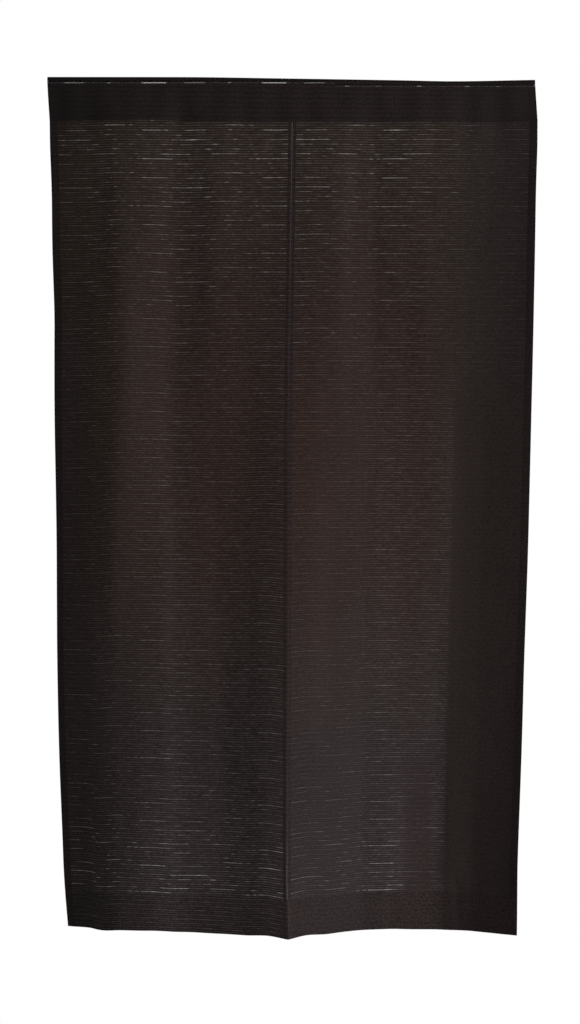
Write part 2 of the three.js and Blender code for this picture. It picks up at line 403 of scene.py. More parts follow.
def bake_places(across, drops, quads):
    """A layout for baking, a place for each corner: the panel's upper half stands beside its
    lower half, its front and back share their places, and the rims lie just outside."""
    columns, rows = len(across), len(drops)
    split_row = int(np.searchsorted(drops, PANEL_LENGTH / 2))
    split = drops[split_row]
    lies = np.stack(np.meshgrid(np.arange(columns), np.arange(rows), indexing="ij"), axis=-1)
    lies = np.concatenate([lies.reshape(-1, 2)] * 2)
    column = lies[quads, 0]
    row = lies[quads, 1]
    back = quads >= columns * rows
    rim = (back.any(axis=1) & ~back.all(axis=1))[:, None]
    low = (row.max(axis=1) > split_row)[:, None]
    down = np.where(low, (drops[row] - split) / (PANEL_LENGTH - split), drops[row] / split)
    out = 0.004 * (rim & back)
    u = 0.01 + 0.47 * across[column] / HALF + np.where(low, 0.5, 0)
    u = u + out * ((column == columns - 1) * 1.0 - (column == 0))
    v = 0.99 - 0.98 * down + out * ((row == 0) * 1.0 - (row == rows - 1))
    return np.stack([u, v], axis=-1).reshape(-1, 2)


# The sleeve's shape


def sleeve_section():
    """The sleeve's section: its outside, then its hollow, with as many points each. A row gives
    the depth, the height above the rod's axis, and how far it hangs towards the seam, where 1
    is the seam. The slot at its foot takes the panels' top edge."""
    cloth = noren().sizes.cloth_thickness / MM
    front_slot = cloth / 2 + 0.07
    back_slot = cloth * 1.5 + 0.22
    loops = []
    for inset, floor in ((0, 1.0), (cloth, 0.93)):
        arc = []
        radius = SLEEVE_RADIUS - inset
        for turn in np.linspace(0, math.pi, 17):
            arc.append((-radius * math.cos(turn), radius * math.sin(turn), 0))
        walls = {}
        for side, slot in ((1, back_slot), (-1, front_slot)):
            wall = []
            for share in np.linspace(0, floor, 15)[1:]:
                bulge = 0.9 * math.sin(math.pi * min(share * 1.25, 1))
                wide = SLEEVE_RADIUS + (slot + cloth - SLEEVE_RADIUS) * share**0.8 + bulge - inset
                wall.append((side * max(wide, 0.3), 0, share))
            if inset:
                wall += [(side * d, 0, floor) for d in (0.2, 0.12, 0.04)]
            else:
                wall += [(side * (slot + cloth - 0.15), 0, 1.018)]
                wall += [(side * slot, 0, 1.02), (side * slot, 0, 0.984)]
            walls[side] = wall
        loops.append(np.array(arc + walls[1] + walls[-1][::-1]))
    return loops


def sleeve_points(section, x, top_edge):
    """Points of one of the section's outlines at every station, in millimetres."""
    axis = smooth_through([r[0] for r in ROD_LINE], [r[1] for r in ROD_LINE], x)
    depth, height, share = section[:, 0], section[:, 1], section[:, 2]
    held = np.clip(share, 0, 1)[None, :]
    ripples = ripple_depth(x)[:, None]
    foot = SEAM + seam_rise(x)
    z = axis[:, None] + height[None, :] + share[None, :] * (foot - axis)[:, None]
    y = depth[None, :] + (top_edge[:, 1:2] - ripples) * held**SLEEVE_SWAY
    y = y + ripples * smooth_step(0, 0.25, held)
    along = x[:, None] + (top_edge[:, 0] - x)[:, None] * held
    return np.stack([along, y, z], axis=2)


def sleeve_stations(across):
    """Stations along the sleeve from its left end, and where the panels' top edges hang there."""
    drops = np.array([0.0, 5.0])
    left = panel_middle(LEFT_FOLDS, LEFT_WRINKLES, -1, across, drops)[:, 0, :2]
    right = panel_middle(RIGHT_FOLDS, RIGHT_WRINKLES, 1, across, drops)[:, 0, :2]
    x = np.concatenate([across - HALF, (HALF - across)[::-1]])
    return x, np.concatenate([left, right[::-1]])


def sew_sleeve(name):
    """The sleeve: a flat tube over the rod, open at both ends."""
    across = np.concatenate([[0, 0.5], spread(3, HALF - 3, 4), [HALF - 1]])
    x, top_edge = sleeve_stations(across)
    loops = sleeve_section()
    rings = [sleeve_points(section, x, top_edge) for section in loops]
    stations, around = rings[0].shape[:2]
    shift = stations * around
    at = np.arange(shift).reshape(stations, around)
    beside = np.roll(at, -1, axis=1)
    tube = np.stack([at[:-1], at[1:], beside[1:], beside[:-1]], axis=-1).reshape(-1, 4)
    parts = [tube, tube[:, ::-1] + shift]
    for end, turn in ((0, 1), (-1, -1)):
        strip = np.stack([at[end], beside[end], beside[end] + shift, at[end] + shift], axis=-1)
        parts.append(strip[:, ::turn])
    quads = np.concatenate(parts)
    nominal = np.stack([loops[0][:, 0], loops[0][:, 1] + loops[0][:, 2] * SEAM], axis=1)
    steps = np.linalg.norm(np.roll(nominal, -1, axis=0) - nominal, axis=1)
    run = np.concatenate([[0], np.cumsum(steps)])[:-1]
    climb = np.abs(run - run[8])
    climb = np.minimum(climb, steps.sum() - climb)
    wall = climb[30]
    flat = np.empty((stations, around, 2))
    flat[:, :, 0] = x[:, None]
    flat[:, :, 1] = (climb - wall)[None, :]
    flat = np.concatenate([flat.reshape(-1, 2)] * 2)
    points = np.concatenate([ring.reshape(-1, 3) for ring in rings])
    return sheet_object(name, points, quads, {"Cloth": flat[quads.ravel()]})


# Stitching


def thread_shape():
    """One stitch, lying along X and standing on Z: a short rounded thread with sunken ends."""
    bpy.ops.object.select_all(action="DESELECT")
    bpy.ops.mesh.primitive_cylinder_add(
        vertices=5, radius=0.23 * MM, depth=3.1 * MM, rotation=(0, math.pi / 2, 0)
    )
    thread = bpy.context.object
    bpy.ops.object.transform_apply(location=True, rotation=True, scale=True)
    bpy.ops.object.mode_set(mode="EDIT")
    bpy.ops.mesh.select_all(action="SELECT")
    bpy.ops.mesh.bisect(plane_co=(0.9 * MM, 0, 0), plane_no=(1, 0, 0))
    bpy.ops.mesh.select_all(action="SELECT")
    bpy.ops.mesh.bisect(plane_co=(-0.9 * MM, 0, 0), plane_no=(1, 0, 0))
    bpy.ops.mesh.select_all(action="SELECT")
    bpy.ops.mesh.normals_make_consistent(inside=False)
    bpy.ops.object.mode_set(mode="OBJECT")
    corners = np.array([v.co for v in thread.data.vertices]) / MM
    sunk = np.abs(corners[:, 0]) > 1.3
    corners[sunk, 1:] *= 0.55
    corners[sunk, 2] -= 0.2
    faces = [list(f.vertices) for f in thread.data.polygons]
    bpy.data.objects.remove(thread, do_unlink=True)
    return corners, faces


def sew_along(lines, name):
    """Lays a stitch at each place of each line. A line gives places, directions along the seam
    and directions away from the cloth, all in millimetres."""
    corners, faces = thread_shape()
    points = []
    quads = []
    count = 0
    for places, along, away in lines:
        along = along / np.linalg.norm(along, axis=1, keepdims=True)
        away = away / np.linalg.norm(away, axis=1, keepdims=True)
        beside = np.cross(away, along)
        turned = (
            corners[None, :, 0:1] * along[:, None, :]
            + corners[None, :, 1:2] * beside[:, None, :]
            + (corners[None, :, 2:3] + 0.08) * away[:, None, :]
        )
        points.append((turned + places[:, None, :]).reshape(-1, 3))
        for stitch in range(len(places)):
            quads += [[count + stitch * len(corners) + v for v in face] for face in faces]
        count += len(places) * len(corners)
    mesh = bpy.data.meshes.new(name)
    mesh.from_pydata((np.concatenate(points) * MM).tolist(), [], quads)
    mesh.update()
    piece = bpy.data.objects.new(name, mesh)
    bpy.context.scene.collection.objects.link(piece)
    return piece


def seam_line(surface, fixed, places, column):
    """Places, directions along and directions away for a seam on a panel's front or back.
    fixed is the column or row that the seam follows, and places are the others."""
    if column:
        here = surface[fixed, places]
        along = surface[fixed, places + 1] - surface[fixed, places - 1]
        beside = surface[fixed + 1, places] - surface[fixed - 1, places]
    else:
        here = surface[places, fixed]
        along = surface[places + 1, fixed] - surface[places - 1, fixed]
        beside = surface[places, fixed + 1] - surface[places, fixed - 1]
    return here, along, np.cross(along, beside)


def panel_seams(folds, wrinkles, side):
    """The stitch lines of one panel: down both side hems and along the bottom hem, on both
    faces. The surface is worked out again with a row for each stitch."""
    pitch = noren().sizes.stitch_pitch / MM
    outer = OUTER_HEM - 2.0
    inner = HALF - INNER_HEM + 1.6
    bottom = HEM_LINE + 2.2
    lines = []
    drops = spread(0, PANEL_LENGTH - 3, pitch)
    across = np.array([outer - 1, outer, outer + 1, inner - 1, inner, inner + 1])
    tops = panel_layers(folds, wrinkles, side, across, drops)
    stitched = np.arange(1, len(drops) - 1)
    for surface in tops:
        for column in (1, 4):
            lines.append(seam_line(surface, column, stitched, True))
    drops = np.array([bottom - 1, bottom, bottom + 1])
    across = spread(0, HALF, pitch)
    full = np.concatenate([spread(0, bottom - 6, 5.2), drops])
    tops = panel_layers(folds, wrinkles, side, across, full)
    stitched = np.arange(4, len(across) - 3)
    for surface in tops:
        lines.append(seam_line(surface, len(full) - 2, stitched, False))
    faced = []
    for i, (here, along, away) in enumerate(lines):
        front = i % 2 == 0 if i >= 4 else i < 2
        sign = np.where((away[:, 1] < 0) == front, 1, -1)
        faced.append((here, along, away * sign[:, None]))
    return faced


def sleeve_seams():
    """The stitch line along the sleeve's foot, on its front and its back."""
    pitch = noren().sizes.stitch_pitch / MM
    across = spread(1, HALF - 2, pitch)
    x, top_edge = sleeve_stations(across)
    ring = sleeve_points(sleeve_section()[0], x, top_edge)
    lines = []
    for high, low, front in ((29, 30, False), (-13, -14, True)):
        here = ring[1:-1, high] * 0.35 + ring[1:-1, low] * 0.65
        along = ring[2:, low] - ring[:-2, low]
        beside = ring[1:-1, low] - ring[1:-1, high]
        away = np.cross(along, beside)
        sign = np.where((away[:, 1] < 0) == front, 1, -1)
        lines.append((here, along, away * sign[:, None]))
    return lines


# The cloth's finish


class Wire:
    """One output of a material's nodes. Arithmetic on it adds Math nodes."""

    def __init__(self, tree, socket=None):
        self.tree = tree
        self.socket = socket

    def node(self, kind, settings=None, inputs=None, output=0):
        """Adds a node, sets it up, joins its inputs and returns one of its outputs. A ramp's
        stops are places with a grey or a colour each."""
        made = self.tree.nodes.new(kind)
        for name, value in (settings or {}).items():
            if name == "stops":
                fill_ramp(made.color_ramp, value)
            else:
                setattr(made, name, value)
        for name, value in (inputs or {}).items():
            if isinstance(value, Wire):
                self.tree.links.new(value.socket, made.inputs[name])
            else:
                made.inputs[name].default_value = value
        if made.outputs:
            return Wire(self.tree, made.outputs[output])

    def other(self, name):
        """Another output of the same node."""
        return Wire(self.tree, self.socket.node.outputs[name])

    def math(self, operation, *others):
        values = dict(enumerate((self, *others)))
        return self.node("ShaderNodeMath", {"operation": operation}, values)

    def ramp(self, stops):
        return self.node("ShaderNodeValToRGB", {"stops": stops}, {"Fac": self})

    def mix(self, share, first, second):
        """A mix of two colours, each a wire or red, green and blue."""
        first, second = (c if isinstance(c, Wire) else (*c, 1) for c in (first, second))
        return self.node("ShaderNodeMix", {"data_type": "RGBA"}, {0: share, 6: first, 7: second}, output=2)

    def curve(self, low, high, points):
        """The value that a few points give, where each is a place from low to high and a value
        from 0 to 1."""
        stops = [((place - low) / (high - low), value) for place, value in points]
        return ((self - low) / (high - low)).ramp(stops)

    def __add__(self, other):
        return self.math("ADD", other)

    __radd__ = __add__

    def __mul__(self, other):
        return self.math("MULTIPLY", other)

    __rmul__ = __mul__

    def __sub__(self, other):
        return self.math("SUBTRACT", other)

    def __rsub__(self, other):
        return self * -1 + other

    def __truediv__(self, other):
        return self.math("DIVIDE", other)

    def __neg__(self):
        return self * -1


def fill_ramp(ramp, stops):
    ramp.interpolation = "LINEAR"
    while len(ramp.elements) > 1:
        ramp.elements.remove(ramp.elements[-1])
    for i, (place, value) in enumerate(stops):
        element = ramp.elements[0] if i == 0 else ramp.elements.new(place)
        element.position = place
        colour = value if isinstance(value, tuple) else (value, value, value)
        element.color = (*colour, 1)


def dash_stops(dashes, low, high, soft):
    """A ramp's stops that rise to each dash's openness and fall again at its end."""
    stops = [(0.0, 0.0)]
    for start, end, openness in dashes:
        for place, value in (
            (start - soft, 0.0),
            (start + soft, openness),
            (end - soft, openness),
            (end + soft, 0.0),
        ):
            stops.append(((place - low) / (high - low), value))
    return [(min(max(place, 0.0), 1.0), value) for place, value in stops]


def band(value, centre, half_height, soft):
    """1 within half_height of centre, falling to 0 over soft beyond it."""
    away = (value - centre).math("ABSOLUTE")
    return ((half_height + soft - away) / soft).math("MINIMUM", 1.0).math("MAXIMUM", 0.0)


def across_curve(across, points):
    """The value that a few points give across the cloth, from its left edge to its right one."""
    return across.curve(-HALF, HALF, points)


def down_curve(plumb, points):
    """The value that a few points give down a panel, from the sleeve to its bottom edge."""
    return plumb.curve(0, PANEL_LENGTH, points)


def row_place(row, parts):
    """How far a place lies from the middle of its row, in millimetres. row counts the main rows
    down the cloth, and parts is how many lines there are to a row."""
    beat = row * parts + 0.5
    return ((beat.math("FRACT") - 0.5) * (ROW_HEIGHT / parts)).math("ABSOLUTE")


def new_material(name):
    material = bpy.data.materials.new(name)
    material.use_nodes = True
    material.node_tree.nodes.clear()
    return material, Wire(material.node_tree)


def weave_noise(start, across, down, wide, tall, detail):
    """Soft noise stretched along the rows, from 0 to 1."""
    place = start.node("ShaderNodeCombineXYZ", {}, {"X": across / wide, "Y": down / tall})
    settings = {"noise_dimensions": "2D"}
    return start.node("ShaderNodeTexNoise", settings, {"Vector": place, "Scale": 1.0, "Detail": detail})


def chart_row(across, dashes, soft):
    """How open one row of the weave's chart is along the cloth, from 0 to 1."""
    along = ((across - REPEAT_START) / REPEAT_WIDTH).math("FRACT")
    ends = [(start, start + length, openness) for start, length, openness in dashes]
    return along.ramp(dash_stops(ends, 0, REPEAT_WIDTH, soft))


def chart_openness(across, row):
    """How open the dashes of the weave's chart are at a place, from 0 to 1."""
    row = (row + 0.5).math("FLOOR").math("FLOORED_MODULO", float(len(DASH_CHART)))
    total = None
    for number, dashes in enumerate(DASH_CHART):
        shown = chart_row(across, dashes, 0.8) * row.math("COMPARE", float(number), 0.5)
        total = shown if total is None else total + shown
    return total


def panel_openness(across, plumb, row, rows, slub):
    """How open a panel is at a place, and 1 in its bottom, its outer and its inner hem. rows is
    the profile of the open rows, and slub varies them."""
    finish = noren().finish
    outer = (across.math("ABSOLUTE") - (HALF - OUTER_HEM)).math("GREATER_THAN", 0.0)
    inner = across.math("ABSOLUTE").math("LESS_THAN", INNER_HEM)
    bottom = plumb.math("GREATER_THAN", HEM_LINE)
    sheer = [(0, 0.9), (45, 0.97), (150, 0.87), (320, 0.76), (500, 0.72), (1150, 0.73), (1300, 0.92)]
    sheer = down_curve(plumb, sheer) * MOST_SHEER
    lit = down_curve(plumb, LIT_DASHES)
    lower = down_curve(plumb, [(430, 0.0), (540, 1.0)])
    last = down_curve(plumb, [(1080, 0.0), (1200, 1.0)])
    end = down_curve(plumb, [(1240, 0.0), (1290, 1.0)])
    calm = 1 - 0.45 * last * band(across, 243.0, 17.0, 10.0)
    calm = calm - 0.35 * end * band(across, 276.0, 14.0, 12.0)
    shares = []
    for high, low in ((ROWS_HIGH, ROWS_LOW), (DASHES_HIGH, DASHES_LOW)):
        high = across_curve(across, high)
        low = across_curve(across, low)
        shares.append((high + (low - high) * lower) * calm)
    main_row = row_place(row, 1)
    dash = chart_openness(across, row) * band(main_row, 0.0, 0.3, 0.35) * (slub + 0.5)
    dash = dash * lit * shares[1] * finish.dash_openness * (1 - 0.7 * bottom)
    ground = finish.ground_openness + finish.row_openness * rows * (slub * 1.35 + 0.32)
    hem = [(-20, 0.22), (10, 0.5), (145, 0.5), (155, 0.7), (172, 0.7), (185, 0.6), (286, 0.65), (297, 0.8)]
    hem = across_curve(across, hem)
    closed = (1 - bottom * hem) * (1 - outer.math("MAXIMUM", inner))
    leak = band(across / (1 + plumb / 1300.0), 0.0, 0.5, 0.4) * lit * finish.slit_openness
    bright = [(120, 0.7), (220, 1.0), (450, 1.0), (620, 0.5), (1100, 0.7)]
    leak = leak * MOST_LEAK * down_curve(plumb, bright)
    leak = leak * plumb.math("LESS_THAN", HEM_LINE - 2)
    openness = (sheer * shares[0] * ground + dash) * closed + leak
    return openness, bottom, outer, inner


def panel_painted_light_and_shade(across, plumb, bottom):
    """Painted light and shade on a panel: how much paler or darker than the rest it is at a place.
    Painted shade darkens it towards its side edges, beside the slit and under the sleeve at the
    left; painted light brightens it in broad bands half-way down and low down on the right;
    painted light and shade make it uneven along its bottom hem; and it is a little darker along
    its bottom edge."""

    def along(points):
        return across_curve(across, points)

    def down(points):
        return down_curve(plumb, points)

    # Painted shade: darker towards both side edges, most high up.
    painted_edge_shade = along([(-425, 1.0), (-385, 0.85), (-325, 0.05), (335, 0.0), (365, 0.35), (425, 0.85)])
    painted_edge_shade = painted_edge_shade * down(
        [(0, 1.0), (150, 0.8), (380, 0.6), (700, 0.1), (850, 0.15), (1000, 0.3), (1200, 0.4), (1414, 0.5)]
    )
    # Painted shade just under the sleeve, towards the left.
    fold = along([(-310, 0.0), (-270, 1.0), (-225, 1.0), (-205, 0.0)]) * down([(0, 1.0), (120, 0.0)])
    # Painted shade on the left panel beside the slit, deepest half-way down; near the hem it turns to a
    # touch of painted light.
    slit_down = [(0, 0.25), (200, 0.45), (350, 0.75), (600, 1.0), (950, 0.85), (1150, 0.3), (1300, 0.0)]
    slit = along([(-80, 0.0), (-40, 0.8), (-1, 1.0), (1, 0.0)]) * (0.06 - 0.24 * down(slit_down))
    # Painted light on the lit side of the right panel's valley, low down beside the crease.
    lit = along([(150, 0.0), (200, 0.8), (280, 1.0), (288, 0.0)]) * down(
        [(600, 0.0), (850, 0.5), (1000, 0.5), (1150, 0.7), (1250, 1.0), (1345, 1.0), (1352, 0.4)]
    )
    # Painted light and shade along the bottom hem, uneven across it.
    hem = along(
        [(-345, 0.4), (-100, 0.9), (-5, 0.9), (15, 0.6), (150, 0.6), (200, 0.95), (285, 0.95)]
        + [(295, 0.4), (345, 0.8)]
    )
    # Painted light in broad bands half-way down, added to the painted light above.
    painted_light_bands = band(across, -125.0, 25.0, 45.0) + band(across, 35.0, 30.0, 30.0)
    painted_light_bands = painted_light_bands + band(across, 190.0, 20.0, 30.0)
    lit = lit + painted_light_bands * down([(300, 0.0), (450, 1.0), (800, 1.0), (1000, 0.5), (1080, 0.0)])
    foot = down([(1385, 0.0), (1414, 1.0)])
    return 0.16 * lit + slit + (0.5 * hem - 0.2) * bottom - 0.42 * painted_edge_shade - 0.14 * fold - 0.09 * foot


def rod_openness(across, plumb):
    """How open the sleeve is at a place: only in a row beside the rod, at the front and a little
    higher at the back, which line up when they are looked at from below."""
    right = across.math("GREATER_THAN", ROD_ROW_CHANGE)
    first, second = (chart_row(across, dashes, 1.2) for dashes in DASH_CHART[:2])
    along = ROD_ROW_OPENNESS + ROD_ROW_OPENNESS * (first + (second - first) * right)
    whole = 2 * LINE_REACH
    sag = across_curve(across, [(place, (rise + LINE_REACH) / whole) for place, rise in ROD_LINE])
    height = plumb + AXIS_CLIMB - (sag * whole - LINE_REACH + ROD_ROW_DROP + ROD_ROW_STEP * right)
    return along * (band(height, 0.0, 0.7, 0.3) + band(height, -3.0, 1.1, 0.4))


def cloth_material(name, panel):
    """Dark open weave. A panel lets light through between its rows and most at the dashes of
    its chart, but not where it is doubled. The sleeve, which is doubled all over, lets light
    through only at a few dashes beside the rod."""
    finish = noren().finish
    material, start = new_material(name)
    places = start.node("ShaderNodeUVMap", {"uv_map": "Cloth"})
    across = start.node("ShaderNodeSeparateXYZ", {}, {"Vector": places})
    plumb = across.other("Y")

    # The rows wander a little. Slubs thicken the yarn here and there, and no two rows match.
    wander = weave_noise(start, across, plumb, 70.0, 240.0, 1.0)
    down = plumb + (wander - 0.5) * 1.6
    row = (down - ROW_START) / ROW_HEIGHT
    row = row + row * row * ROW_CLOSING
    number = (row * 2 + 0.5).math("FLOOR")
    slub = weave_noise(start, across, number, 17.0, 0.73, 2.0)
    grain = weave_noise(start, across, down, 6.5, 2.3, 3.0)
    speck = weave_noise(start, across, down, 3.4, 3.2, 1.0)
    blotch = weave_noise(start, across, down, 46.0, 90.0, 2.0)
    main_row = row_place(row, 1)
    rows = band(row_place(row, 2), 0.0, 0.35, 0.65) * (0.86 + 0.14 * band(main_row, 0.0, 1.0, 0.5))
    warp = (across * (2 * math.pi / 1.05)).math("COSINE") * 0.5 + 0.5

    # The rows hardly show in the plain strip at the right, nor in the right panel's bottom hem,
    # which looks speckled instead.
    strip = across_curve(across, [(275, 0.0), (300, 1.0)])
    even = strip
    speckled = 0.0
    if panel:
        openness, bottom, outer, inner = panel_openness(across, plumb, row, rows, slub)
        doubled = outer.math("MAXIMUM", inner).math("MAXIMUM", bottom)
        openness = openness * (0.55 + 0.9 * grain) * (0.85 + 0.15 * warp)
        # The panel's painted light and shade, with a painted highlight along the inner hems beside the
        # slit; the outer hems are a little darker.
        painted_shading = 1.03 + panel_painted_light_and_shade(across, plumb, bottom) - 0.09 * outer + 0.34 * inner
        even = strip.math("MAXIMUM", bottom * across.math("GREATER_THAN", 0.0))
        speckled = 0.8 * (even - strip)
    else:
        openness = rod_openness(across, plumb)
        doubled = 1.0
        # Painted shade on the sleeve: darker all over than the panels, much darker towards its left end,
        # away from the key light, and a little darker towards its right end; it is a little darker still
        # over the side hems at both ends.
        ends = (across.math("ABSOLUTE") - (HALF - OUTER_HEM)).math("GREATER_THAN", 0.0)
        shade = [(-425, 0.37), (-395, 0.37), (-280, 0.8), (250, 1.0), (425, 0.76)]
        painted_shading = (0.84 - 0.1 * ends) * across_curve(across, shade)
    opaque = 1 - openness.math("MINIMUM", 0.8)

    # The upper colour turns into the lower one further down, and sooner at the left edge.
    lower = down_curve(plumb, [(480, 0.0), (760, 0.45), (860, 0.72), (1000, 0.93), (1100, 1.0)])
    left_edge = across_curve(across, [(-425, 0.9), (-385, 0.8), (-340, 0.0)])
    left_edge = left_edge * down_curve(plumb, [(250, 0.0), (420, 1.0)])
    lower = lower.math("MAXIMUM", left_edge)
    middle_down = [(0, 0.1), (80, 0.55), (200, 0.85), (320, 1.0), (640, 1.0), (800, 0.65)]
    middle_down += [(950, 0.25), (1080, 0.0)]
    middle_across = [(-345, 0.0), (-300, 0.4), (-245, 0.9), (0, 0.9), (20, 1.0), (230, 1.0), (290, 0.0)]
    middle = down_curve(plumb, middle_down)
    middle = middle * across_curve(across, middle_across)
    colour = start.mix(lower, finish.upper_colour, finish.lower_colour)
    colour = start.mix(middle, colour, finish.middle_colour)
    colour = start.mix(across_curve(across, [(272, 0.0), (310, 0.9)]), colour, finish.strip_colour)
    colour = start.mix(doubled, colour, finish.doubled_colour)
    lines = (band(main_row, 0.0, 0.8, 1.6) - 0.35) * (0.25 + 0.14 * doubled) * (1 - 0.6 * even)
    ribs = lines + 0.55 * (slub - 0.5) + 1.1 * (grain - 0.5)
    ribs = ribs * (0.75 + 0.3 * doubled) + (speck - 0.5) * (0.9 + 0.6 * doubled + speckled)
    ribs = 1 + ribs + 0.2 * (blotch - 0.5)
    colour = start.node(
        "ShaderNodeVectorMath", {"operation": "SCALE"}, {0: colour, "Scale": ribs * painted_shading}
    )

    weft = (row * (2 * math.pi * 8)).math("COSINE") * 0.5
    height = weft + 0.35 * warp + 0.8 * (1 - rows) + 0.8 * grain
    bump = start.node(
        "ShaderNodeBump", {}, {"Strength": 0.35, "Distance": 0.12 * MM, "Height": height}
    )
    rough = finish.roughness + 0.1 * (slub - 0.5)
    shader = start.node(
        "ShaderNodeBsdfPrincipled",
        {},
        {
            "Base Color": colour,
            "Roughness": rough,
            "Alpha": opaque,
            "Normal": bump,
            "Specular IOR Level": finish.shine,
        },
    )
    start.node("ShaderNodeOutputMaterial", {}, {"Surface": shader})
    return material


def thread_material(name):
    """Dark polyester thread with a faint twist."""
    finish = noren().finish
    material, start = new_material(name)
    places = start.node("ShaderNodeTexCoord").other("Object")
    twist = start.node(
        "ShaderNodeTexWave", {"bands_direction": "DIAGONAL"}, {"Vector": places, "Scale": 900.0}
    )
    twist = twist.other("Fac")
    colour = start.mix(twist, finish.thread_colour, finish.doubled_colour)
    bump = start.node(
        "ShaderNodeBump", {}, {"Strength": 0.4, "Distance": 0.05 * MM, "Height": twist}
    )
    shader = start.node(
        "ShaderNodeBsdfPrincipled",
        {},
        {"Base Color": colour, "Roughness": 0.7, "Normal": bump, "Specular IOR Level": 0.2},
    )
    start.node("ShaderNodeOutputMaterial", {}, {"Surface": shader})
    return material


def paper_material(name):
    """Pale matt studio paper."""
    material, start = new_material(name)
    places = start.node("ShaderNodeTexCoord").other("Object")
    grain = start.node("ShaderNodeTexNoise", {}, {"Vector": places, "Scale": 60.0, "Detail": 3.0})
    stops = [(0.3, (0.80, 0.80, 0.795)), (0.7, (0.83, 0.83, 0.825))]
    shader = start.node(
        "ShaderNodeBsdfPrincipled",
        {},
        {"Base Color": grain.ramp(stops), "Roughness": 0.9, "Specular IOR Level": 0.1},
    )
    start.node("ShaderNodeOutputMaterial", {}, {"Surface": shader})
    return material


# The settings that a user would change


def colour_setting(name, description, default):
    return FloatVectorProperty(name=name, description=description, default=default, subtype="COLOR")


def share_setting(name, description, default, most):
    return FloatProperty(
        name=name, description=description, default=default, min=0, max=most, subtype="FACTOR"
    )


def length_setting(name, description, default, least, most, digits):
    """A length given in millimetres and kept in metres."""
    return FloatProperty(
        name=name,
        description=description,
        default=default * MM,
        min=least * MM,
        max=most * MM,
        precision=digits,
        subtype="DISTANCE",
        unit="LENGTH",
    )


class NorenSizes(bpy.types.PropertyGroup):
    cloth_thickness: length_setting(
        "Cloth thickness", "Thickness of one layer of cloth", 0.55, 0.2, 1.2, 5
    )
    slit_gap: length_setting(
        "Gap at the slit", "Gap between the folded edges of the two panels", 0.05, 0.02, 0.5, 5
    )
    stitch_pitch: length_setting(
        "Stitch pitch", "Distance from one stitch to the next along a seam", 4.4, 3.5, 8, 4
    )


class NorenFinish(bpy.types.PropertyGroup):
    upper_colour: colour_setting(
        "Upper cloth", "Colour of single cloth near the sleeve", (0.0248, 0.0132, 0.0074)
    )
    lower_colour: colour_setting(
        "Lower cloth", "Colour of single cloth further down", (0.0253, 0.0148, 0.0144)
    )
    middle_colour: colour_setting(
        "Middle cloth",
        "Colour of single cloth half-way down, away from the side edges",
        (0.0276, 0.0122, 0.0084),
    )
    strip_colour: colour_setting(
        "Plain strip", "Colour of the plain cloth near the right edge", (0.0243, 0.0154, 0.0144)
    )
    doubled_colour: colour_setting(
        "Doubled cloth", "Colour of the sleeve and the hems", (0.0196, 0.0115, 0.0110)
    )
    thread_colour: colour_setting("Thread", "Colour of the stitching", (0.012, 0.009, 0.009))
    ground_openness: share_setting(
        "Ground openness", "How much light each face of single cloth lets through everywhere", 0.02, 0.5
    )
    row_openness: share_setting(
        "Row openness", "How much more light a face lets through between its rows of yarn", 0.17, 0.6
    )
    dash_openness: share_setting(
        "Dash openness", "How much more light a face lets through at the widest dashes", 0.38, 0.8
    )
    slit_openness: share_setting(
        "Slit openness", "How much light the folded edges let through along the slit", 0.3, 0.8
    )
    roughness: share_setting("Roughness", "Roughness of the yarn", 0.72, 1)
    shine: share_setting("Shine", "Strength of the yarn's soft shine", 0.2, 1)


class NorenStage(bpy.types.PropertyGroup):
    key_power: FloatProperty(
        name="Key light", description="Power of the large soft light", default=161.0, min=0, unit="POWER"
    )
    back_power: FloatProperty(
        name="Back light", description="Power of the light behind", default=30.0, min=0, unit="POWER"
    )
    fill: FloatProperty(
        name="Fill", description="Strength of the light from all round", default=0.25, min=0
    )
    floor_height: FloatProperty(
        name="Floor height",
        description="Height of the floor below the rod's axis",
        default=-2.0,
        subtype="DISTANCE",
        unit="LENGTH",
    )


class NorenSettings(bpy.types.PropertyGroup):
    sizes: PointerProperty(type=NorenSizes)
    finish: PointerProperty(type=NorenFinish)
    stage: PointerProperty(type=NorenStage)


# The pieces


class NOREN_OT_hang_panels(bpy.types.Operator):
    """Hang the two cloth panels from the sleeve"""

    bl_idname = "noren.hang_panels"
    bl_label = "Hang panels"

    def execute(self, context):
        material = cloth_material("sheer_weave", True)
        for name, node, folds, wrinkles, side in (
            ("left_panel", "panel_left", LEFT_FOLDS, LEFT_WRINKLES, -1),
            ("right_panel", "panel_right", RIGHT_FOLDS, RIGHT_WRINKLES, 1),
        ):
            piece = hang_panel(name, folds, wrinkles, side)
            finish_piece(piece, material, 40)
            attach(piece, "root")
            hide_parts(node)
        return {"FINISHED"}


class NOREN_OT_sew_sleeve(bpy.types.Operator):
    """Sew the flat sleeve that slips over the rod"""

    bl_idname = "noren.sew_sleeve"
    bl_label = "Sew sleeve"

    def execute(self, context):
        piece = sew_sleeve("rod_sleeve")
        finish_piece(piece, cloth_material("sleeve_weave", False), 40)
        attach(piece, "root")
        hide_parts("heading")
        return {"FINISHED"}


class NOREN_OT_stitch_seams(bpy.types.Operator):
    """Stitch the sleeve's foot and the hems"""

    bl_idname = "noren.stitch_seams"
    bl_label = "Stitch seams"

    def execute(self, context):
        material = thread_material("seam_thread")
        seams = {
            "sleeve_stitches": sleeve_seams(),
            "left_stitches": panel_seams(LEFT_FOLDS, LEFT_WRINKLES, -1),
            "right_stitches": panel_seams(RIGHT_FOLDS, RIGHT_WRINKLES, 1),
        }
        for name, lines in seams.items():
            piece = sew_along(lines, name)
            finish_piece(piece, material, 60)
            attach(piece, "root")
        return {"FINISHED"}


